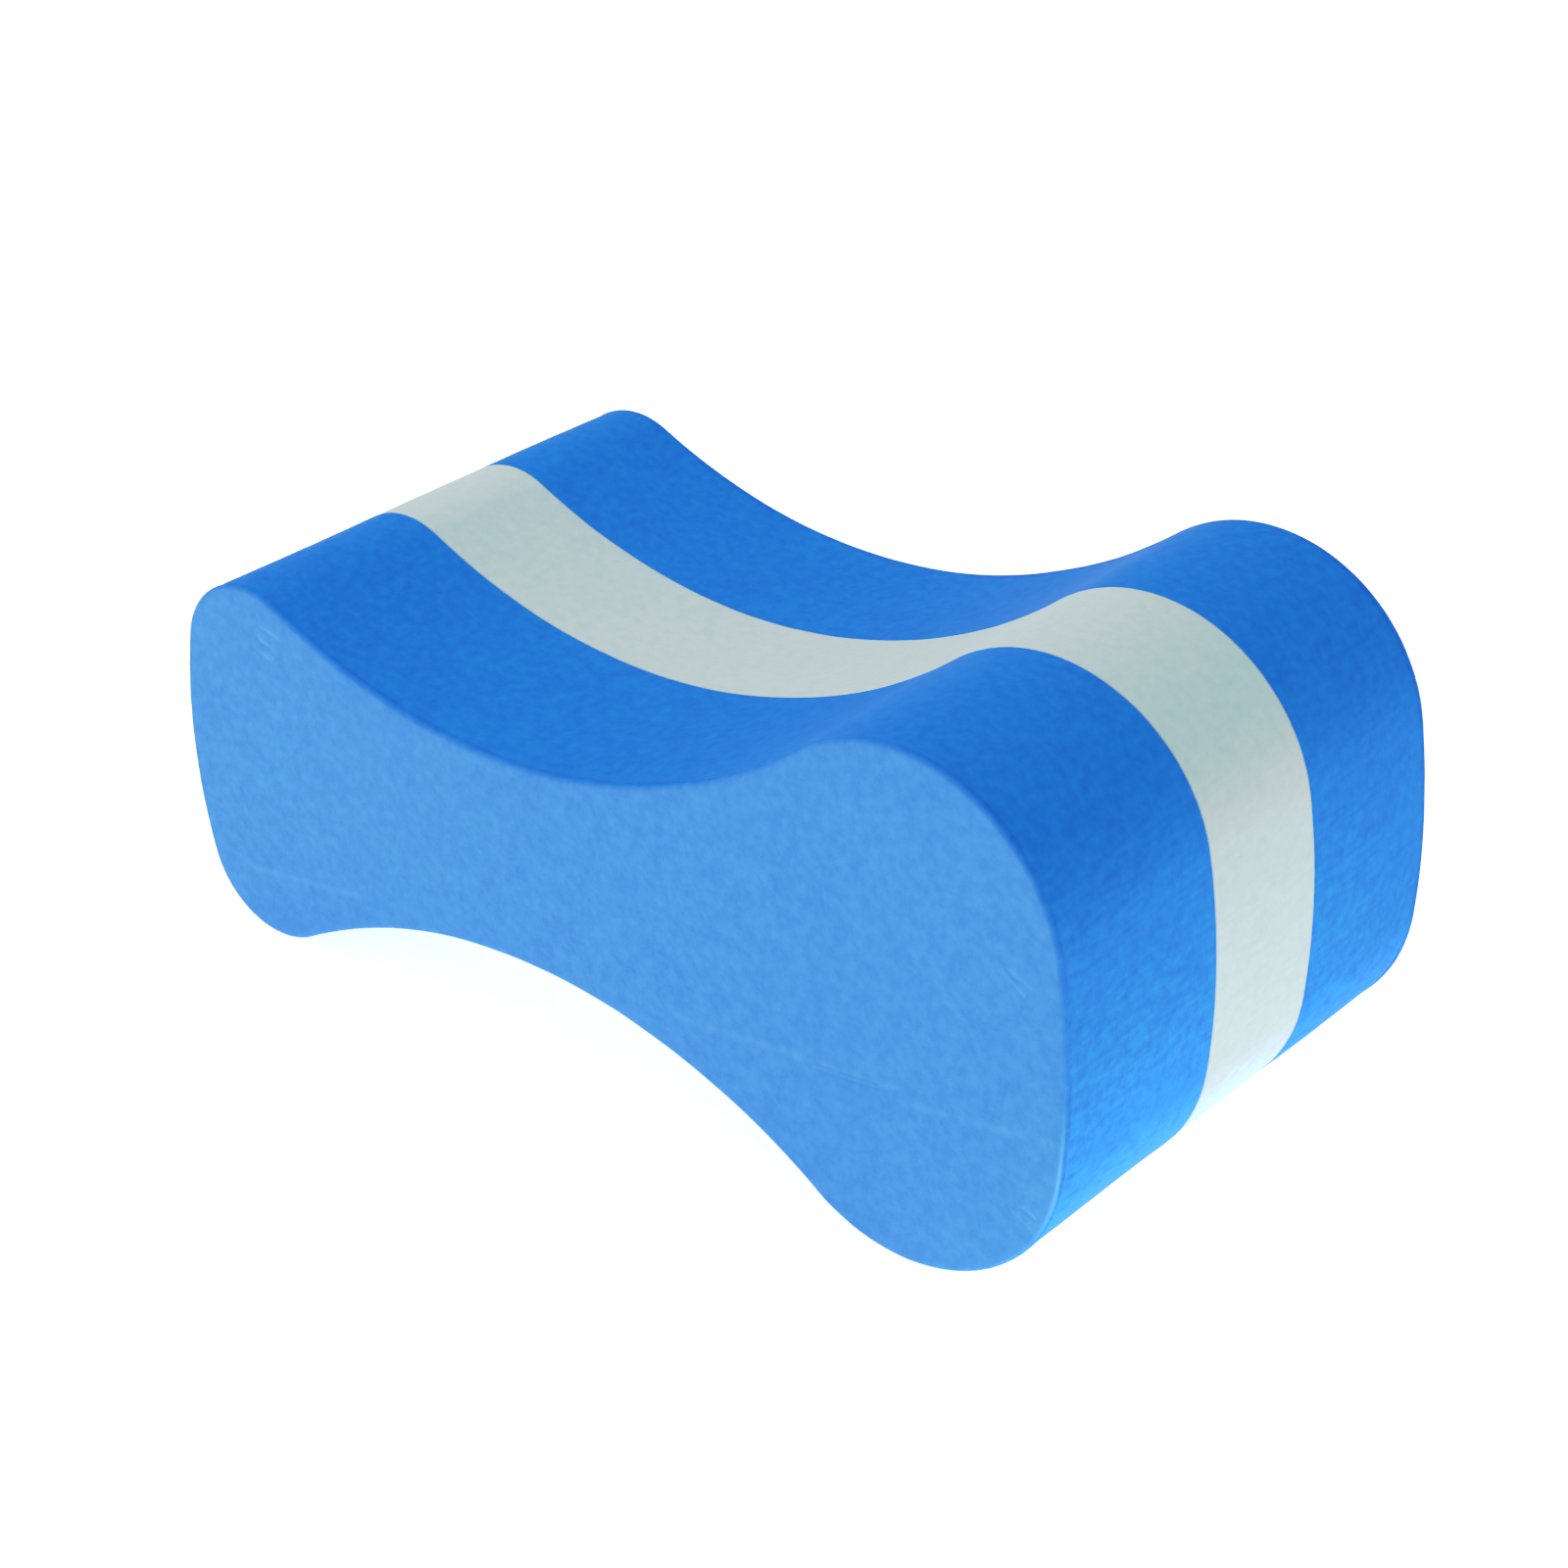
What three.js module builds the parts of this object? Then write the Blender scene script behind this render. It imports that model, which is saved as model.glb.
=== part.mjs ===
// Pull buoy: a swimmer's leg float cut from a block of three foam sheets, blue, white and blue.
// Millimetres. The buoy lies on its two lobes: X runs along it towards the big lobe, Y runs across
// the sheets from the front one to the rear one, and Z is up. The origin is on the surface it lies
// on, under the middle of its bounding box.

import * as THREE from 'three';

// Side outline. It is mirrored about its long axis and made of arcs that meet tangentially:
// at each end a flat nose arc between two corner arcs, and on each side a hollow waist arc.
const OVERALL_LENGTH = 230;
const SMALL_LOBE = { cornerRadius: 19, cornerOffset: 21.75, noseRadius: 120 };
const BIG_LOBE = { cornerRadius: 37, cornerOffset: 17.25, noseRadius: 165 };
const WAIST_RADIUS = 132;

// Sheets, front to rear, and the cured adhesive between them.
const FRONT_SHEET = 47.5;
const CENTRE_SHEET = 33;
const REAR_SHEET = 41;
const BOND_LINE = 0.3;
const FILM_THICKNESS = 0.2;
const FILM_SETBACK = 0.4;

// Largest distance between an arc and its chords.
const CHORD_ERROR = 0.03;

const BLUE_FOAM = { color: 0x2f86e8, roughness: 0.85, metalness: 0 };
const WHITE_FOAM = { color: 0xe2e8ea, roughness: 0.85, metalness: 0 };
const ADHESIVE = { color: 0xc9cdc6, roughness: 0.45, metalness: 0 };

// Centres of a lobe's arcs. end is -1 for the lobe towards -X and 1 for the lobe towards +X.
function lobeCentres(lobe, end) {
  const noseX = end * (OVERALL_LENGTH / 2 - lobe.noseRadius);
  const reach = Math.sqrt((lobe.noseRadius - lobe.cornerRadius) ** 2 - lobe.cornerOffset ** 2);
  return {
    nose: new THREE.Vector2(noseX, 0),
    corner: new THREE.Vector2(noseX + end * reach, lobe.cornerOffset),
  };
}

// Centre of the waist arc that touches both upper corner arcs from outside.
function waistCentre(smallCorner, bigCorner) {
  const toSmall = WAIST_RADIUS + SMALL_LOBE.cornerRadius;
  const toBig = WAIST_RADIUS + BIG_LOBE.cornerRadius;
  const span = smallCorner.distanceTo(bigCorner);
  const along = (span ** 2 + toSmall ** 2 - toBig ** 2) / (2 * span);
  const across = Math.sqrt(toSmall ** 2 - along ** 2);
  const direction = bigCorner.clone().sub(smallCorner).normalize();
  const normal = new THREE.Vector2(-direction.y, direction.x);
  return smallCorner.clone().addScaledVector(direction, along).addScaledVector(normal, across);
}

function arcPoints(centre, radius, start, end) {
  const clockwise = end < start;
  const step = 2 * Math.acos(1 - CHORD_ERROR / radius);
  const divisions = Math.ceil(Math.abs(end - start) / step);
  const arc = new THREE.EllipseCurve(centre.x, centre.y, radius, radius, start, end, clockwise);
  return arc.getPoints(divisions);
}

// The outline moved inwards by setback, anticlockwise from the tip of the big lobe.
function outline(setback) {
  const small = lobeCentres(SMALL_LOBE, -1);
  const big = lobeCentres(BIG_LOBE, 1);
  const waist = waistCentre(small.corner, big.corner);
  const bigNoseEnd = big.corner.clone().sub(big.nose).angle();
  const bigCornerEnd = waist.clone().sub(big.corner).angle();
  const smallCornerStart = waist.clone().sub(small.corner).angle();
  const smallNoseStart = small.corner.clone().sub(small.nose).angle();
  const arcs = [
    arcPoints(big.nose, BIG_LOBE.noseRadius - setback, 0, bigNoseEnd),
    arcPoints(big.corner, BIG_LOBE.cornerRadius - setback, bigNoseEnd, bigCornerEnd),
    arcPoints(waist, WAIST_RADIUS + setback, bigCornerEnd + Math.PI, smallCornerStart + Math.PI),
    arcPoints(small.corner, SMALL_LOBE.cornerRadius - setback, smallCornerStart, smallNoseStart),
    arcPoints(small.nose, SMALL_LOBE.noseRadius - setback, smallNoseStart, Math.PI),
  ];
  // Each arc starts where the one before it ends, so that shared point is kept once.
  const upper = arcs.flatMap((points, index) => (index === 0 ? points : points.slice(1)));
  const lower = upper.slice(1, -1).reverse().map((point) => new THREE.Vector2(point.x, -point.y));
  return [...upper, ...lower];
}

// Turn about Y that lays both lobes on the surface under them.
function restTurn() {
  const small = lobeCentres(SMALL_LOBE, -1).corner;
  const big = lobeCentres(BIG_LOBE, 1).corner;
  const run = big.x - small.x;
  const rise = small.y - big.y;
  const radiusStep = BIG_LOBE.cornerRadius - SMALL_LOBE.cornerRadius;
  return Math.atan2(rise, run) - Math.asin(radiusStep / Math.hypot(run, rise));
}

// A flat sheet of the outline's shape, from frontY to frontY + thickness.
function sheet(name, frontY, thickness, setback, finish) {
  const shape = new THREE.Shape(outline(setback));
  const geometry = new THREE.ExtrudeGeometry(shape, { depth: thickness, bevelEnabled: false });
  const mesh = new THREE.Mesh(geometry, new THREE.MeshStandardMaterial(finish));
  mesh.name = name;
  mesh.rotation.x = Math.PI / 2;
  mesh.position.y = frontY + thickness;
  return mesh;
}

// The bond line takes half of its thickness from each of the two sheets that it joins.
function foamSheets() {
  const half = BOND_LINE / 2;
  const front = -(FRONT_SHEET + CENTRE_SHEET + REAR_SHEET) / 2;
  const frontBond = front + FRONT_SHEET;
  const rearBond = frontBond + CENTRE_SHEET;
  return [
    sheet('front_blue_slab', front, FRONT_SHEET - half, 0, BLUE_FOAM),
    sheet('centre_white_slab', frontBond + half, CENTRE_SHEET - BOND_LINE, 0, WHITE_FOAM),
    sheet('rear_blue_slab', rearBond + half, REAR_SHEET - half, 0, BLUE_FOAM),
    bondFilm('front_bond_film', frontBond),
    bondFilm('rear_bond_film', rearBond),
  ];
}

function bondFilm(name, middleY) {
  return sheet(name, middleY - FILM_THICKNESS / 2, FILM_THICKNESS, FILM_SETBACK, ADHESIVE);
}

const laminate = new THREE.Group();
laminate.rotation.y = restTurn();
laminate.add(...foamSheets());

// The laminate is moved so that its box stands on Z = 0 with its middle over the origin.
const box = new THREE.Box3().setFromObject(laminate, true);
laminate.position.set(-(box.min.x + box.max.x) / 2, 0, -box.min.z);

const pullBuoy = new THREE.Group();
pullBuoy.add(laminate);

export default pullBuoy;
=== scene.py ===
"""Pull buoy: three glued sheets of closed-cell foam, lying on its two lobes on a white light table.

Lengths are in metres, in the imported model's frame: X along the float, Y across the sheets, Z up.
The outline is the CAD model's chain of arcs, made finely enough to carry the cut surface's
ripples, the softened edges and the marks on the front sheet as real shape.
"""

import math

import bpy
import numpy as np
from mathutils import Matrix, Vector, geometry, noise


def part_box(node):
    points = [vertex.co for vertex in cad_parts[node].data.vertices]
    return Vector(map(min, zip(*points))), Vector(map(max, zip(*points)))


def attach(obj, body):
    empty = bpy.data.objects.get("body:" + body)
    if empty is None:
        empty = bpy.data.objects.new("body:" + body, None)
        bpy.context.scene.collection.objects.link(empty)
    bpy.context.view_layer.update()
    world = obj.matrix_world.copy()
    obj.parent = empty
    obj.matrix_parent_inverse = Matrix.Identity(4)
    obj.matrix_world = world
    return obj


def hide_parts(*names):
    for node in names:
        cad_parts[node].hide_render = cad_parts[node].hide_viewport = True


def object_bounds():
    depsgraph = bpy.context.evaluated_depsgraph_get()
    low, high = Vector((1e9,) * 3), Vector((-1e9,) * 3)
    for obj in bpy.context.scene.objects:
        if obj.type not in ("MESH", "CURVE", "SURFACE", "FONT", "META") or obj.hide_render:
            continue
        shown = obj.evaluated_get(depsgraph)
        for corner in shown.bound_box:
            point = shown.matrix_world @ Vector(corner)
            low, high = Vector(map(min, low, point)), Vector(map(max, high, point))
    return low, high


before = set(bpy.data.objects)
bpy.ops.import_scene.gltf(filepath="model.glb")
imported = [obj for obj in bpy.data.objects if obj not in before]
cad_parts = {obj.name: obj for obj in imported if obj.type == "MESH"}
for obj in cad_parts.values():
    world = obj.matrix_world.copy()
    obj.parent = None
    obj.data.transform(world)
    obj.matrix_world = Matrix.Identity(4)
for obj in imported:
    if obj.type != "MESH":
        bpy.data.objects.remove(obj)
cad_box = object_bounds()

MM = 0.001

# ---------------------------------------------------------------- camera

CAMERA_AZIMUTH = math.radians(39.3)
CAMERA_ELEVATION = math.radians(30.04)
CAMERA_ROLL = math.radians(1.45)
CAMERA_DISTANCE = 742 * MM
CAMERA_LENS_MM = 82.9
CAMERA_AIM = Vector((1.5, -3.1, -5.7)) * MM  # from the middle of the CAD box
CAMERA_CLIP_END = 20.0


def make_camera():
    """Looks down at the front face and the big lobe's nose, a little rolled."""
    camera = bpy.data.objects.new("camera", bpy.data.cameras.new("camera"))
    bpy.context.scene.collection.objects.link(camera)
    turn = (
        Matrix.Rotation(CAMERA_AZIMUTH, 4, "Z")
        @ Matrix.Rotation(math.pi / 2 - CAMERA_ELEVATION, 4, "X")
        @ Matrix.Rotation(CAMERA_ROLL, 4, "Z")
    )
    aim = (cad_box[0] + cad_box[1]) / 2 + CAMERA_AIM
    back = turn @ Vector((0, 0, CAMERA_DISTANCE))
    camera.matrix_world = Matrix.Translation(aim + back) @ turn
    camera.data.lens = CAMERA_LENS_MM
    camera.data.clip_end = CAMERA_CLIP_END
    bpy.context.scene.camera = camera


make_camera()

# ---------------------------------------------------------------- outline

LENGTH = 230 * MM
SMALL_LOBE = {"corner": 19 * MM, "offset": 21.75 * MM, "nose": 120 * MM}
BIG_LOBE = {"corner": 37 * MM, "offset": 17.25 * MM, "nose": 165 * MM}
WAIST_RADIUS = 132 * MM
OUTLINE_COUNT = 1600


def lobe_centres(lobe, end):
    """Centres of a lobe's nose arc and upper corner arc. end is -1 or 1, the side it is on."""
    nose_x = end * (LENGTH / 2 - lobe["nose"])
    reach = math.sqrt((lobe["nose"] - lobe["corner"]) ** 2 - lobe["offset"] ** 2)
    return np.array([nose_x, 0]), np.array([nose_x + end * reach, lobe["offset"]])


def waist_centre(small, big):
    """Centre of the arc that touches both upper corner arcs from outside."""
    to_small = WAIST_RADIUS + SMALL_LOBE["corner"]
    to_big = WAIST_RADIUS + BIG_LOBE["corner"]
    span = np.linalg.norm(big - small)
    along = (span**2 + to_small**2 - to_big**2) / (2 * span)
    across = math.sqrt(to_small**2 - along**2)
    direction = (big - small) / span
    return small + direction * along + np.array([-direction[1], direction[0]]) * across


def angle_of(vector):
    return math.atan2(vector[1], vector[0])


def outline_arcs():
    """Arcs (centre, radius, start, end), anticlockwise from the tip of the big lobe."""
    small_nose, small = lobe_centres(SMALL_LOBE, -1)
    big_nose, big = lobe_centres(BIG_LOBE, 1)
    waist = waist_centre(small, big)
    big_nose_end = angle_of(big - big_nose)
    big_end = angle_of(waist - big)
    small_start = angle_of(waist - small)
    small_nose_start = angle_of(small - small_nose)
    upper = [
        (big_nose, BIG_LOBE["nose"], 0, big_nose_end),
        (big, BIG_LOBE["corner"], big_nose_end, big_end),
        (waist, WAIST_RADIUS, big_end + math.pi, small_start + math.pi),
        (small, SMALL_LOBE["corner"], small_start, small_nose_start),
        (small_nose, SMALL_LOBE["nose"], small_nose_start, math.pi),
    ]
    lower = [(c * [1, -1], r, -end, -start) for c, r, start, end in reversed(upper)]
    return upper + lower


def rest_turn():
    """Turn in the XZ plane that lays both lobes on the floor."""
    small = lobe_centres(SMALL_LOBE, -1)[1]
    big = lobe_centres(BIG_LOBE, 1)[1]
    run, rise = big[0] - small[0], small[1] - big[1]
    radius_step = BIG_LOBE["corner"] - SMALL_LOBE["corner"]
    return math.asin(radius_step / math.hypot(run, rise)) - math.atan2(rise, run)


def make_outline():
    """Points (x, z) evenly spaced along the outline, their outward normals, and its length."""
    arcs = outline_arcs()
    centre = np.array([arc[0] for arc in arcs])
    radius, start, end = (np.array([arc[i] for arc in arcs]) for i in (1, 2, 3))
    lengths = np.abs(end - start) * radius
    stops = np.cumsum(lengths)
    along = np.arange(OUTLINE_COUNT) / OUTLINE_COUNT * stops[-1]
    arc = np.searchsorted(stops, along, side="right")
    share = (along - (stops - lengths)[arc]) / lengths[arc]
    angle = start[arc] + (end - start)[arc] * share
    ray = np.stack([np.cos(angle), np.sin(angle)], 1)
    points = centre[arc] + ray * radius[arc, None]
    normals = ray * np.sign(end - start)[arc, None]
    turn = rest_turn()
    rotation = np.array([[math.cos(turn), math.sin(turn)], [-math.sin(turn), math.cos(turn)]])
    points, normals = points @ rotation, normals @ rotation
    low, high = cad_box
    points[:, 0] += (low.x + high.x) / 2 - (points[:, 0].min() + points[:, 0].max()) / 2
    points[:, 1] += low.z - points[:, 1].min()
    return points, normals, stops[-1]


OUTLINE, NORMALS, PERIMETER = make_outline()

# ---------------------------------------------------------------- surface relief

# Each use of the noise has its own seed. SEED_STEP is how far apart the seeds lie, in features.
SEED_STEP = 17.3
SWELL_SEED, DENT_SEED, RIPPLE_SEED, RIPPLE_PATCH_SEED = 1, 2, 3, 4
FRONT_BOW_SEED, FRONT_DIMPLE_SEED, LIP_SEED = 5, 6, 7
REAR_BOW_SEED, REAR_DIMPLE_SEED = 8, 9
WANDER_SEED, BREAK_SEED = 11, 12


def noise_at(points, size, seed):
    """Smooth noise from about -1 to 1 at each point, with features of about this size."""
    scaled = np.asarray(points) / size + seed * SEED_STEP
    return np.array([noise.noise(p) for p in scaled.tolist()])


def around_outline(spread):
    """The outline laid on a circle of its own length, so that noise along it has no seam."""
    angle = np.arange(OUTLINE_COUNT) / OUTLINE_COUNT * 2 * math.pi
    radius = PERIMETER / (2 * math.pi)
    ring = np.stack([np.cos(angle), np.sin(angle)], 1) * radius
    rows = [np.column_stack([ring, np.full(OUTLINE_COUNT, y)]) for y in spread]
    return np.concatenate(rows)


SWELL_SIZE, SWELL_HEIGHT = 34 * MM, 0.22 * MM
DENT_SIZE, DENT_HEIGHT = 7 * MM, 0.045 * MM
RIPPLE_PITCH, RIPPLE_LENGTH, RIPPLE_HEIGHT = 2.0 * MM, 10 * MM, 0.09 * MM
RIPPLE_PATCH, RIPPLE_PATCH_MEAN, RIPPLE_PATCH_SWING = 26 * MM, 0.75, 0.6
RIPPLE_ELSEWHERE = 0.3  # over the saddles, times the ripples on the noses
RIPPLE_AT_REAR = 0.45  # at the rear face, times the ripples at the front face


def ripple_strength():
    """How rough the blade left the cut: most on the noses, less over the saddles."""
    facing_end = NORMALS[:, 0] ** 2
    return RIPPLE_ELSEWHERE + (1 - RIPPLE_ELSEWHERE) * facing_end


def cut_ripples(rows_y):
    """The blade's chatter, from about -1 in a groove to 1 on a crest, for each row and point."""
    place = around_outline(rows_y)
    stretched = place * [1, 1, RIPPLE_PITCH / RIPPLE_LENGTH]
    ripples = noise_at(stretched, RIPPLE_PITCH / 2, RIPPLE_SEED)
    patches = noise_at(place, RIPPLE_PATCH, RIPPLE_PATCH_SEED)
    patches = RIPPLE_PATCH_MEAN + RIPPLE_PATCH_SWING * patches
    front, rear = cad_box[0].y, cad_box[1].y
    fade = 1 - (1 - RIPPLE_AT_REAR) * (np.asarray(rows_y) - front) / (rear - front)
    strength = np.outer(fade, ripple_strength())
    return (ripples * patches).reshape(len(rows_y), OUTLINE_COUNT) * strength


def cut_relief(rows_y):
    """Height of the cut surface over the true outline, for each row and outline point."""
    place = around_outline(rows_y)
    swell = noise_at(place, SWELL_SIZE, SWELL_SEED) * SWELL_HEIGHT
    dents = noise_at(place, DENT_SIZE, DENT_SEED) * DENT_HEIGHT
    return (swell + dents).reshape(len(rows_y), OUTLINE_COUNT) + cut_ripples(rows_y) * RIPPLE_HEIGHT


BOW_SIZE, BOW_HEIGHT = 60 * MM, 0.35 * MM
DIMPLE_SIZE, DIMPLE_HEIGHT = 9 * MM, 0.05 * MM


def face_relief(flat, bow_seed, dimple_seed):
    """How far a broad face is moved along Y at points (x, z)."""
    place = np.column_stack([flat, np.zeros(len(flat))])
    bow = noise_at(place, BOW_SIZE, bow_seed) * BOW_HEIGHT
    return bow + noise_at(place, DIMPLE_SIZE, dimple_seed) * DIMPLE_HEIGHT


# ---------------------------------------------------------------- marks on the front face

# Each mark is a shallow crease, broken along its length: start and end (x, z), half width and
# depth, in millimetres.
FRONT_MARKS = [
    ((-100.0, 13.4), (-66.0, 20.2), 1.2, 0.08),
    ((24.0, 29.8), (76.5, 37.4), 1.4, 0.08),
    ((58.0, 33.6), (73.0, 35.6), 0.9, 0.06),
    ((81.0, 35.6), (112.5, 42.0), 1.4, 0.08),
    ((-90.6, 74.4), (-86.6, 73.5), 0.7, 0.16),
    ((-91.8, 71.4), (-88.4, 70.7), 0.7, 0.16),
    ((-92.4, 68.8), (-89.0, 67.5), 0.7, 0.13),
    ((100.0, 72.5), (102.0, 71.4), 0.6, 0.10),
    ((101.0, 74.0), (103.4, 72.5), 0.6, 0.12),
    ((101.8, 71.8), (104.6, 70.0), 0.6, 0.10),
    ((103.6, 73.0), (105.8, 71.8), 0.6, 0.08),
    ((88.0, 61.0), (91.4, 59.2), 0.6, 0.06),
    ((104.8, 23.2), (107.6, 21.6), 0.6, 0.09),
    ((107.6, 25.2), (109.8, 24.4), 0.6, 0.14),
    ((106.8, 22.6), (108.8, 21.8), 0.6, 0.14),
]
DEEPEST_MARK = max(depth for *_, depth in FRONT_MARKS)
MARK_STEP = 0.5 * MM
MARK_MARGIN = 0.5 * MM  # least distance from a mark to the rim's round
WANDER_SIZE, WANDER_REACH = 8 * MM, 0.25 * MM
BREAK_SIZE, BREAK_MEAN = 3 * MM, 0.7


def mark_points(start, end, half_width):
    """Points along a mark: its floor, then its two banks. The line wanders a little."""
    start, end = np.array(start) * MM, np.array(end) * MM
    span = np.linalg.norm(end - start)
    count = max(3, round(span / MARK_STEP))
    share = np.linspace(0, 1, count)[:, None]
    across = np.array([start[1] - end[1], end[0] - start[0]]) / span
    floor = start + (end - start) * share
    place = np.column_stack([floor, np.zeros(len(floor))])
    floor = floor + across * noise_at(place, WANDER_SIZE, WANDER_SEED)[:, None] * WANDER_REACH
    return floor, [floor + across * half_width * MM, floor - across * half_width * MM]


def front_marks():
    """Extra points for the front face: (x, z), depth in metres, and how worn each looks."""
    points, depths, wear = [], [], []
    for start, end, half_width, depth in FRONT_MARKS:
        floor, banks = mark_points(start, end, half_width)
        place = np.column_stack([floor, floor[:, :1]])
        broken = np.clip(BREAK_MEAN + noise_at(place, BREAK_SIZE, BREAK_SEED), 0, 1)
        points += [floor, *banks]
        depths += [broken * depth * MM, np.zeros(2 * len(floor))]
        wear += [broken * depth / DEEPEST_MARK, np.zeros(2 * len(floor))]
    points, depths, wear = np.concatenate(points), np.concatenate(depths), np.concatenate(wear)
    kept = inside_distance(points) > OUTER_ROUND + MARK_MARGIN
    return points[kept], depths[kept], wear[kept]


# ---------------------------------------------------------------- rows round a sheet

OUTER_ROUND = 0.9 * MM  # radius of a broad face's edge
SEAM_ROUND = 0.22 * MM  # radius of an edge that meets the next sheet
ROUND_STEPS = 5
ROW_STEP = 1.4 * MM
RIM_ROWS = np.array([1.15, 1.4, 1.7, 2.1, 2.6, 3.3]) * MM  # finer rows beside a broad face


def edge_rows(is_skin):
    """Rows from one face of a sheet inwards: distance in from the outline, and from the face."""
    radius = OUTER_ROUND if is_skin else SEAM_ROUND
    bend = np.linspace(0, math.pi / 2, ROUND_STEPS + 1)
    inset = radius * (1 - np.sin(bend))
    reach = radius * (1 - np.cos(bend))
    if not is_skin:
        return inset, reach
    return np.append(inset, np.zeros(len(RIM_ROWS))), np.append(reach, RIM_ROWS)


def section_rows(front, rear, skin_front, skin_rear):
    """Rows across a sheet's edge, front to rear: distance in from the outline, and Y."""
    front_inset, front_reach = edge_rows(skin_front)
    rear_inset, rear_reach = edge_rows(skin_rear)
    start, end = front + front_reach[-1], rear - rear_reach[-1]
    middle = np.linspace(start, end, round((end - start) / ROW_STEP) + 1)[1:-1]
    inset = np.concatenate([front_inset, np.zeros(len(middle)), rear_inset[::-1]])
    y = np.concatenate([front + front_reach, middle, rear - rear_reach[::-1]])
    return inset, y


def loop_quads(rows):
    """Quads between neighbouring rows of outline points, facing out."""
    point = np.arange(OUTLINE_COUNT)
    following = (point + 1) % OUTLINE_COUNT
    quads = []
    for row in range(rows - 1):
        here, there = row * OUTLINE_COUNT, (row + 1) * OUTLINE_COUNT
        quads.append(np.stack([here + point, there + point, there + following, here + following], 1))
    return np.concatenate(quads).tolist()


# ---------------------------------------------------------------- broad faces

FACE_GRID = 2.2 * MM
SEAM_FACE_GRID = 3 * FACE_GRID  # coarser, because a seam's face is flat and hidden
FACE_RINGS = [(0.9 * MM, 2), (2.3 * MM, 4)]  # distance in from the rim, and every how many points
GRID_CLEARANCE = 0.7  # grid steps between the inner ring and the grid
MARK_CLEARANCE = 1.0 * MM  # between a mark's points and the grid
TRIANGLES_INSIDE = 1  # the kind of result asked of Blender's triangulation
SAME_POINT = 1e-7  # metres between points that count as one
NO_POINTS = np.zeros((0, 2))


def inside_distance(points):
    """How far each point lies inside the outline: negative outside."""
    outline, normals = OUTLINE[::2], NORMALS[::2]
    offset = points[:, None] - outline[None]
    distance = np.hypot(offset[..., 0], offset[..., 1])
    nearest = distance.argmin(1)
    rows = np.arange(len(points))
    side = (offset[rows, nearest] * normals[nearest]).sum(1)
    return -np.sign(side) * distance[rows, nearest]


def face_grid(step):
    """A triangular grid of points (x, z) that stays clear of the rim."""
    low, high = OUTLINE.min(0), OUTLINE.max(0)
    rise = step * math.sqrt(3) / 2
    points = []
    for row, z in enumerate(np.arange(low[1], high[1], rise)):
        xs = np.arange(low[0] + (row % 2) * step / 2, high[0], step)
        points.append(np.column_stack([xs, np.full(len(xs), z)]))
    points = np.concatenate(points)
    return points[inside_distance(points) > OUTER_ROUND + FACE_RINGS[-1][0] + step * GRID_CLEARANCE]


def face_mesh(rim, step, marks):
    """Triangles over a broad face. rim is the outer loop (x, z), and its points come first."""
    rings = [(rim - NORMALS * inset)[::every] for inset, every in FACE_RINGS]
    grid = face_grid(step)
    if len(marks):
        near = np.array([np.hypot(*(marks - point).T).min() for point in grid])
        grid = grid[near > MARK_CLEARANCE]
    points = np.concatenate([rim, *rings, grid, marks])
    vectors = [Vector(point) for point in points.tolist()]
    loop = list(range(len(rim)))
    result = geometry.delaunay_2d_cdt(vectors, [], [loop], TRIANGLES_INSIDE, SAME_POINT)
    faces, origins = result[2], result[3]
    first = [ids[0] for ids in origins]
    return points, [[first[corner] for corner in face] for face in faces]


class Shell:
    """A closed mesh: rows of points round the outline, front to rear, and a broad face at each end.

    relief is how far each row's points stand out from the outline.
    """

    def __init__(self, y, relief):
        self.flat = OUTLINE + NORMALS * relief[..., None]
        self.y = y
        depth = np.broadcast_to(y[:, None], relief.shape)
        rows = np.stack([self.flat[..., 0], depth, self.flat[..., 1]], -1)
        self.points = [rows.reshape(-1, 3)]
        self.faces = loop_quads(len(y))

    def close(self, is_front, step, marks=NO_POINTS, depths=()):
        """Covers the front or the rear with a broad face, and returns how many points it adds."""
        row, inward = (0, 1) if is_front else (len(self.y) - 1, -1)
        points, triangles = face_mesh(self.flat[row], step, marks)
        inner = points[OUTLINE_COUNT:]
        y = np.full(len(inner), self.y[row])
        # The marks' points are the last ones.
        y[len(inner) - len(marks):] += np.asarray(depths) * inward
        rim_numbers = np.arange(OUTLINE_COUNT) + row * OUTLINE_COUNT
        inner_numbers = np.arange(len(inner)) + sum(len(part) for part in self.points)
        number = np.concatenate([rim_numbers, inner_numbers])
        self.points.append(np.column_stack([inner[:, 0], y, inner[:, 1]]))
        self.faces += [number[corners][::inward].tolist() for corners in triangles]
        return len(inner)


# ---------------------------------------------------------------- a foam sheet

SKIN_REACH = 0.75  # share of the outer round that shows the skin's colour
FACE_FADE = 7 * MM  # how far from a broad face its bow still moves the sheet

# The lip beside a broad face: its crest, its hollow and, between them, a dark line of painted shade in
# the cut's colour. Their places are in lip reaches from the face.
LIP_HEIGHT, LIP_REACH = 0.16 * MM, 1.1 * MM
CREST_PLACE, CREST_SHARPNESS = 1.0, 2.5
HOLLOW_PLACE, HOLLOW_SHARPNESS, HOLLOW_DEPTH = 2.6, 1.5, 0.6
PAINTED_SHADE_PLACE, PAINTED_SHADE_SHARPNESS = 1.35, 6.25

# The lip comes and goes along the rim, and the painted shade line goes with it.
LIP_PATCH, LIP_MEAN, LIP_LEAST, LIP_MOST = 22 * MM, 0.5, 0.15, 1.1
PAINTED_SHADE_OFFSET, PAINTED_SHADE_MOST = 0.3, 1.6

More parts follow.
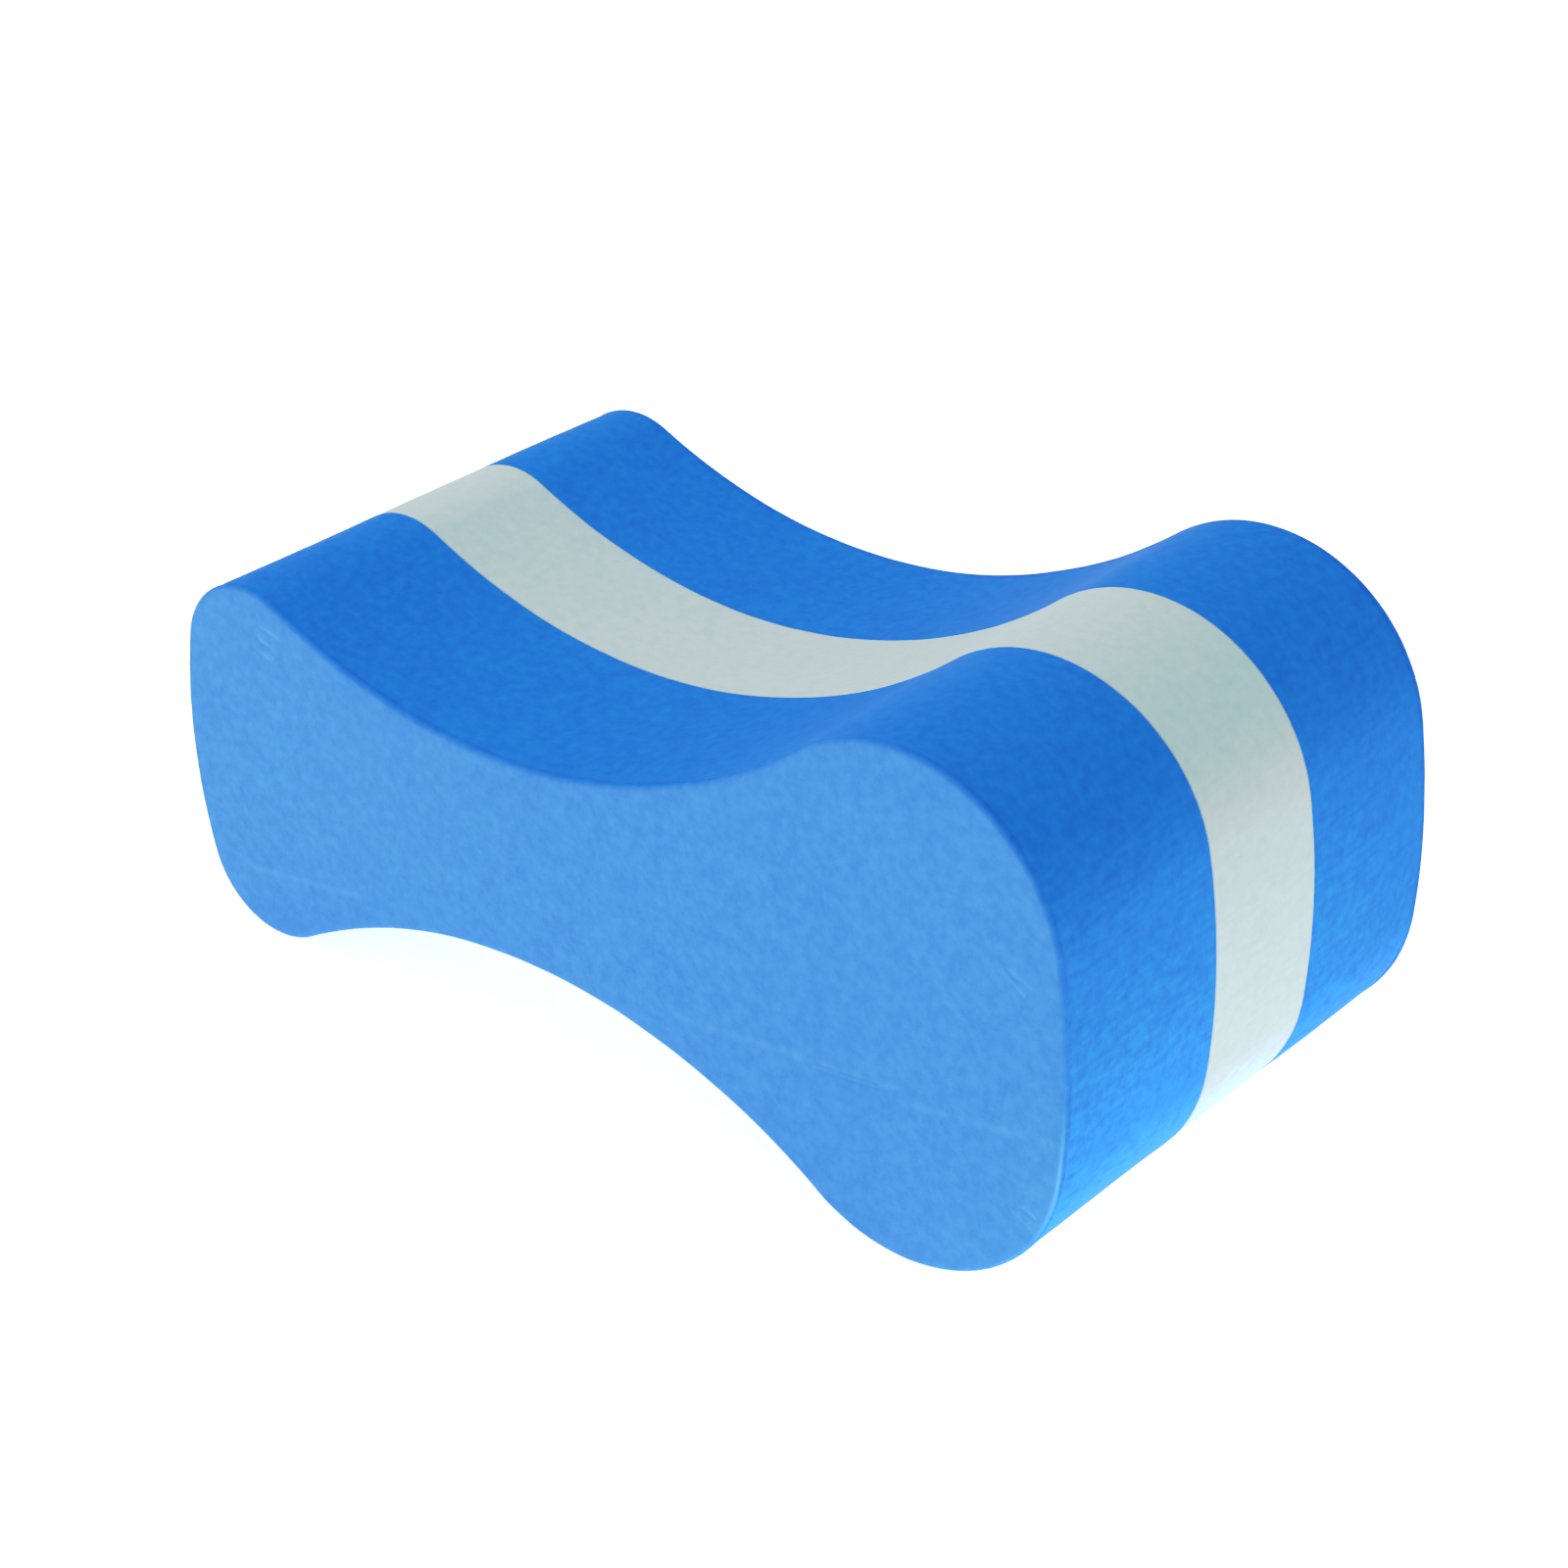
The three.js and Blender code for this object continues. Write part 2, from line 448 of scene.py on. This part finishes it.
# The torn stretch of the front face's rim. Its wear is on the edge's round.
SCAR_PLACE, SCAR_REACH = np.array([114.0, 34.0]) * MM, 13 * MM
SCAR_LIP, SCAR_WEAR = 2.2, 2.2  # added to the lip's strength, and how worn it looks
WEAR_PLACE, WEAR_SHARPNESS = 0.3, 30  # in outer rounds from the face


def hill(place, middle, sharpness):
    """A smooth hill, 1 high at its middle. It is narrower when it is sharper."""
    return np.exp(-((place - middle) ** 2) * sharpness)


def lip(distance):
    """The dense skin at a broad face's rim stands a little proud of the cut, then a slight hollow."""
    reach = distance / LIP_REACH
    crest = hill(reach, CREST_PLACE, CREST_SHARPNESS)
    hollow = hill(reach, HOLLOW_PLACE, HOLLOW_SHARPNESS) * HOLLOW_DEPTH
    return LIP_HEIGHT * (crest - hollow)


def lip_strength():
    """How strong the lip is at each outline point."""
    patches = noise_at(around_outline([0]), LIP_PATCH, LIP_SEED)
    return np.clip(LIP_MEAN + patches, LIP_LEAST, LIP_MOST)


def scar():
    """How badly the blade tore the front face's rim, along the outline: only low on the big lobe."""
    away = np.hypot(*(OUTLINE - SCAR_PLACE).T)
    return hill(away / SCAR_REACH, 0, 1)


class Sheet:
    """One foam sheet: its cut surface, its two faces and what its material reads."""

    def __init__(self, node, skin_front, skin_rear, recess=0.0):
        low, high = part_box(node)
        self.node, self.front, self.rear = node, low.y, high.y
        self.skin_front, self.skin_rear = skin_front, skin_rear
        inset, self.y = section_rows(self.front, self.rear, skin_front, skin_rear)
        self.relief = cut_relief(self.y) - inset[:, None] - recess
        self.skin = np.zeros(self.relief.shape)
        self.mark = np.zeros(self.relief.shape)
        # The ripples also colour the cut: darker in the grooves as painted shade, paler on the crests as
        # wear and painted light.
        self.tone = cut_ripples(self.y)

    def shape_rim(self, distance, torn):
        """Shapes the cut beside a broad face and colours it: the skin's colour, a painted shade line
        beside the lip, and wear on the torn stretch. distance is each row's, from the face.
        """
        distance = distance[:, None]
        strength = lip_strength() + SCAR_LIP * torn
        self.relief += lip(distance) * strength
        painted_shade = np.minimum(strength + PAINTED_SHADE_OFFSET, PAINTED_SHADE_MOST)
        # Painted shade: the tone is darkened in a thin line between the lip's crest and its hollow.
        self.tone -= hill(distance / LIP_REACH, PAINTED_SHADE_PLACE, PAINTED_SHADE_SHARPNESS) * painted_shade
        skin = np.clip(1 - distance / (SKIN_REACH * OUTER_ROUND), 0, 1)
        self.skin = np.maximum(self.skin, skin)
        wear = hill(distance / OUTER_ROUND, WEAR_PLACE, WEAR_SHARPNESS) * torn * SCAR_WEAR
        self.mark = np.maximum(self.mark, wear)

    def build(self):
        """Makes the sheet's piece."""
        if self.skin_front:
            self.shape_rim(self.y - self.front, scar())
        if self.skin_rear:
            self.shape_rim(self.rear - self.y, np.zeros(OUTLINE_COUNT))
        shell = Shell(self.y, self.relief)
        looks = [np.stack([self.skin, self.mark, self.tone * (1 - self.skin)], -1).reshape(-1, 3)]
        for is_front, is_skin in ((True, self.skin_front), (False, self.skin_rear)):
            step = FACE_GRID if is_skin else SEAM_FACE_GRID
            marks, depths, wear = front_marks() if is_front and is_skin else (NO_POINTS, [], [])
            count = shell.close(is_front, step, marks, depths)
            face = np.zeros((count, 3))
            face[:, 0] = is_skin
            face[count - len(marks):, 1] = wear
            looks.append(face)
        skin, mark, ripple_and_rim_shade = np.concatenate(looks).T
        points = self.bowed(np.concatenate(shell.points))
        return mesh_piece(self.node, points, shell.faces, {"skin": skin, "mark": mark, "ripple_and_rim_shade": ripple_and_rim_shade})

    def bowed(self, points):
        """The points with the skin faces bowed, and none of them under the floor."""
        for is_skin, y, bow_seed, dimple_seed in (
            (self.skin_front, self.front, FRONT_BOW_SEED, FRONT_DIMPLE_SEED),
            (self.skin_rear, self.rear, REAR_BOW_SEED, REAR_DIMPLE_SEED),
        ):
            if is_skin:
                fade = np.clip(1 - np.abs(points[:, 1] - y) / FACE_FADE, 0, 1) ** 2
                points[:, 1] += face_relief(points[:, [0, 2]], bow_seed, dimple_seed) * fade
        points[:, 2] = np.maximum(points[:, 2], 0)
        return points


def mesh_piece(node, points, faces, attributes):
    """A smooth-shaded object that stands for a CAD node."""
    mesh = bpy.data.meshes.new(node + "_foam")
    mesh.from_pydata(points.tolist(), [], faces)
    mesh.polygons.foreach_set("use_smooth", [True] * len(mesh.polygons))
    for name, values in attributes.items():
        layer = mesh.attributes.new(name, "FLOAT", "POINT")
        layer.data.foreach_set("value", values.astype(np.float32))
    mesh.validate()
    piece = bpy.data.objects.new(node + "_foam", mesh)
    bpy.context.scene.collection.objects.link(piece)
    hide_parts(node)
    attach(piece, "root")
    return piece


# ---------------------------------------------------------------- materials


class Nodes:
    """A short way to write a material's node tree."""

    def __init__(self, name):
        self.material = bpy.data.materials.new(name)
        self.material.use_nodes = True
        self.tree = self.material.node_tree
        self.shader = self.tree.nodes["Principled BSDF"]
        self.place = self.add("ShaderNodeTexCoord").outputs["Object"]

    def add(self, kind, inputs=None, **settings):
        node = self.tree.nodes.new(kind)
        for key, value in settings.items():
            setattr(node, key, value)
        for key, value in (inputs or {}).items():
            self.set(node.inputs[key], value)
        return node

    def set(self, socket, value):
        if isinstance(value, bpy.types.NodeSocket):
            self.tree.links.new(value, socket)
        else:
            socket.default_value = value

    def math(self, operation, a, b):
        return self.add("ShaderNodeMath", {0: a, 1: b}, operation=operation).outputs[0]

    def noise(self, size, detail=2.0, roughness=0.5):
        inputs = {"Vector": self.place, "Scale": 1 / size, "Detail": detail, "Roughness": roughness}
        return self.add("ShaderNodeTexNoise", inputs).outputs["Fac"]

    def cells(self, size):
        cells = self.add("ShaderNodeTexVoronoi", {"Vector": self.place, "Scale": 1 / size})
        return cells.outputs["Distance"]

    def attribute(self, name):
        return self.add("ShaderNodeAttribute", attribute_name=name).outputs["Fac"]

    def mix(self, factor, first, second):
        """A mix of two colours, each a linked socket or a plain (red, green, blue)."""
        node = self.add("ShaderNodeMix", data_type="RGBA")
        sockets = [socket for socket in node.inputs if socket.type == "RGBA"]
        self.set(node.inputs["Factor"], factor)
        for socket, colour in zip(sockets, (first, second)):
            self.set(socket, (*colour, 1) if isinstance(colour, tuple) else colour)
        return next(socket for socket in node.outputs if socket.type == "RGBA")

    def remap(self, value, low, high, to_low, to_high):
        inputs = {"Value": value, 1: low, 2: high, 3: to_low, 4: to_high}
        return self.add("ShaderNodeMapRange", inputs).outputs[0]

    def bump(self, height, distance, strength, below=None):
        inputs = {"Height": height, "Distance": distance, "Strength": strength}
        if below is not None:
            inputs["Normal"] = below
        return self.add("ShaderNodeBump", inputs).outputs["Normal"]


# Where most of a noise texture's values lie, and most of a cell texture's distances.
NOISE_SPAN = (0.3, 0.7)
CELL_SPAN = (0.0, 0.6)

# Each texture's size and how far it swings the tone, which runs from the dark colour to the light.
MIDDLE_TONE = 0.5
BLOTCH_SIZE, BLOTCH_SWING = 2.4 * MM, 0.19
CLOUD_SIZE, CLOUD_SWING = 28 * MM, 0.04
GRAIN_SIZE, GRAIN_SWING = 0.9 * MM, 0.04
CELL_SIZE, CELL_SWING = 0.75 * MM, 0.03
# How far the ripples swing the tone: painted shade in the grooves and in the rim's dark line, paler
# crests as wear and painted light.
RIPPLE_SHADE_SWING = 0.3
WORN_SHARE = 0.5  # how much of the worn colour a full mark shows
FINE_DETAIL = 3.0  # octaves of noise in the blotches and puckers
BLOTCH_ROUGHNESS = 0.6  # how strong each finer octave is, times the one before

CUT_ROUGHNESS, SKIN_ROUGHNESS = 0.82, 0.6
FOAM_SPECULAR = 0.28
PUCKER_SIZE, PUCKER_DEPTH, PUCKER_STRENGTH = 1.8 * MM, 0.1 * MM, 0.45
PIT_DEPTH, PIT_STRENGTH = 0.05 * MM, 0.35


def foam_tone(n, cells, grain):
    """The foam's mottling, with the painted shade of the cut's ripples and of the rim's dark line, about
    the middle tone. grain scales all of it but the clouds.
    """
    swing = BLOTCH_SWING * grain
    blotches = n.noise(BLOTCH_SIZE, FINE_DETAIL, BLOTCH_ROUGHNESS)
    tone = n.remap(blotches, *NOISE_SPAN, MIDDLE_TONE - swing, MIDDLE_TONE + swing)
    for part in (
        n.remap(n.noise(CLOUD_SIZE), *NOISE_SPAN, -CLOUD_SWING, CLOUD_SWING),
        n.remap(n.noise(GRAIN_SIZE), *NOISE_SPAN, -GRAIN_SWING * grain, GRAIN_SWING * grain),
        n.remap(cells, *CELL_SPAN, -CELL_SWING * grain, CELL_SWING * grain),
        n.math("MULTIPLY", n.attribute("ripple_and_rim_shade"), RIPPLE_SHADE_SWING * grain),
    ):
        tone = n.math("ADD", tone, part)
    return tone


def foam_material(name, cut, skin, worn, grain):
    """Closed-cell foam: fine cells, soft mottling, painted shade along the cut's ripples and beside its
    rim, and a smoother, lighter skin on broad faces.

    cut and skin are the darkest and lightest colours of those surfaces.
    """
    n = Nodes(name)
    is_skin = n.attribute("skin")
    cells = n.cells(CELL_SIZE)
    tone = foam_tone(n, cells, grain)
    clean = n.mix(is_skin, n.mix(tone, *cut), n.mix(tone, *skin))
    wear = n.math("MULTIPLY", n.attribute("mark"), WORN_SHARE)
    n.set(n.shader.inputs["Base Color"], n.mix(wear, clean, worn))
    n.set(n.shader.inputs["Roughness"], n.remap(is_skin, 0, 1, CUT_ROUGHNESS, SKIN_ROUGHNESS))
    puckers = n.bump(n.noise(PUCKER_SIZE, FINE_DETAIL), PUCKER_DEPTH, PUCKER_STRENGTH)
    n.set(n.shader.inputs["Normal"], n.bump(cells, PIT_DEPTH, PIT_STRENGTH, puckers))
    n.shader.inputs["Specular IOR Level"].default_value = FOAM_SPECULAR
    return n.material


ADHESIVE_COLOURS = ((0.22, 0.40, 0.60), (0.36, 0.52, 0.66))
TINT_SIZE, TINT_RANGE = 3 * MM, (0.75, 1.0)
ADHESIVE_ROUGHNESS = 0.5
SMEAR_SIZE, SMEAR_DEPTH, SMEAR_STRENGTH = 0.8 * MM, 0.05 * MM, 0.4


def adhesive_material():
    """Cured contact adhesive: satin, slightly smeared and tinted by the blue foam."""
    n = Nodes("bond_adhesive")
    tint = n.remap(n.noise(TINT_SIZE), *NOISE_SPAN, *TINT_RANGE)
    n.set(n.shader.inputs["Base Color"], n.mix(tint, *ADHESIVE_COLOURS))
    n.set(n.shader.inputs["Normal"], n.bump(n.noise(SMEAR_SIZE), SMEAR_DEPTH, SMEAR_STRENGTH))
    n.shader.inputs["Roughness"].default_value = ADHESIVE_ROUGHNESS
    return n.material


# Linear colours: a surface's darkest and lightest, and the worn marks'. The white sheet has
# neither skin nor marks.
BLUE_CUT = ((0.000, 0.115, 0.670), (0.004, 0.273, 0.966))
BLUE_SKIN = ((0.004, 0.156, 0.600), (0.052, 0.260, 0.850))
BLUE_WORN = (0.110, 0.345, 0.930)
WHITE_CUT = ((0.384, 0.560, 0.584), (0.586, 0.778, 0.800))

# ---------------------------------------------------------------- the pieces

WHITE_RECESS = 0.04 * MM
FILM_RECESS = 0.12 * MM
FILM_ROWS = 3
BLUE_GRAIN, WHITE_GRAIN = 1.0, 0.75


def make_sheets():
    blue = foam_material("blue_foam", BLUE_CUT, BLUE_SKIN, BLUE_WORN, BLUE_GRAIN)
    white = foam_material("white_foam", WHITE_CUT, WHITE_CUT, WHITE_CUT[1], WHITE_GRAIN)
    sheets = [
        (Sheet("front_blue_slab", True, False), blue, "blue_foam"),
        (Sheet("centre_white_slab", False, False, WHITE_RECESS), white, "white_foam"),
        (Sheet("rear_blue_slab", False, True), blue, "blue_foam"),
    ]
    for sheet, material, slot in sheets:
        piece = sheet.build()
        piece.data.materials.append(material)


def make_films():
    """The adhesive shows only as a fine line, sunk a little between the sheets."""
    adhesive = adhesive_material()
    for node in ("front_bond_film", "rear_bond_film"):
        low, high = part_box(node)
        y = np.linspace(low.y, high.y, FILM_ROWS)
        shell = Shell(y, cut_relief(y) - FILM_RECESS)
        shell.close(True, SEAM_FACE_GRID)
        shell.close(False, SEAM_FACE_GRID)
        piece = mesh_piece(node, np.concatenate(shell.points), shell.faces, {})
        piece.data.materials.append(adhesive)


make_sheets()
make_films()

# ---------------------------------------------------------------- light table and lights

WHITE = (1, 1, 1, 1)
FLOOR_HALF = 8.0
FLOOR_COLOUR = (0.82, 0.82, 0.82, 1)
FLOOR_ROUGHNESS, FLOOR_SPECULAR = 0.9, 0.1
FLOOR_GLOW = 1.15
PATCH_GLOW = 2.3  # extra light from the table beside the big lobe
PATCH_CENTRE = (0.205, -0.03, 0.0)
PATCH_RADIUS = 0.14
WORLD_STRENGTH = 0.355

# Each lamp's name, place, width and height, and power in watts.
LAMPS = [
    ("overhead", (-0.52, -0.1, 1.30), (1.2, 1.2), 12.2),
    ("front", (-0.5, -1.1, 0.45), (0.8, 0.5), 2.8),
]
LAMP_AIM = Vector((0, 0, 0.05))


def make_floor():
    """The light table: a wide plane that glows, most of all beside the big lobe."""
    corners = [(-1, -1), (1, -1), (1, 1), (-1, 1)]
    mesh = bpy.data.meshes.new("floor")
    mesh.from_pydata([(x * FLOOR_HALF, y * FLOOR_HALF, 0) for x, y in corners], [], [(0, 1, 2, 3)])
    floor = bpy.data.objects.new("floor", mesh)
    bpy.context.scene.collection.objects.link(floor)
    n = Nodes("light_table")
    n.shader.inputs["Base Color"].default_value = FLOOR_COLOUR
    n.shader.inputs["Roughness"].default_value = FLOOR_ROUGHNESS
    n.shader.inputs["Specular IOR Level"].default_value = FLOOR_SPECULAR
    n.shader.inputs["Emission Color"].default_value = WHITE
    away = n.add("ShaderNodeVectorMath", {0: n.place, 1: PATCH_CENTRE}, operation="DISTANCE")
    distance = away.outputs["Value"]
    glow = n.remap(distance, 0, PATCH_RADIUS, FLOOR_GLOW + PATCH_GLOW, FLOOR_GLOW)
    n.set(n.shader.inputs["Emission Strength"], glow)
    mesh.materials.append(n.material)


def make_world():
    """Plain white light from all round."""
    world = bpy.data.worlds.new("studio")
    world.use_nodes = True
    background = world.node_tree.nodes["Background"]
    background.inputs["Color"].default_value = WHITE
    background.inputs["Strength"].default_value = WORLD_STRENGTH
    bpy.context.scene.world = world


def make_lamp(name, place, size, power):
    """A soft rectangular lamp, turned towards the float."""
    light = bpy.data.lights.new(name, "AREA")
    light.shape = "RECTANGLE"
    light.size, light.size_y = size
    light.energy = power
    lamp = bpy.data.objects.new(name, light)
    lamp.location = place
    lamp.rotation_euler = (LAMP_AIM - Vector(place)).to_track_quat("-Z", "Y").to_euler()
    bpy.context.scene.collection.objects.link(lamp)


make_floor()
make_world()
for lamp in LAMPS:
    make_lamp(*lamp)

# ---------------------------------------------------------------- the camera's response

# Scene value and shown value. Bright tones roll off softly, and the light table is pure white.
TONE_CURVE = [(0.28, 0.28), (0.46, 0.52), (0.68, 0.63), (0.92, 0.75), (1.18, 0.85), (1.32, 1.0)]
TONE_LIMIT = 4.0
COMBINED_CURVE = 3  # the curve that acts on all three channels


def set_tones():
    """Gives the picture the tone curve."""
    view = bpy.context.scene.view_settings
    view.view_transform = "Standard"
    view.look = "None"
    view.use_curve_mapping = True
    mapping = view.curve_mapping
    mapping.clip_max_x = TONE_LIMIT
    mapping.clip_max_y = TONE_LIMIT
    curve = mapping.curves[COMBINED_CURVE]
    curve.points[1].location = (TONE_LIMIT, 1.0)
    for scene_value, shown_value in TONE_CURVE:
        curve.points.new(scene_value, shown_value)
    for point in curve.points:
        point.handle_type = "VECTOR"
    mapping.update()


set_tones()
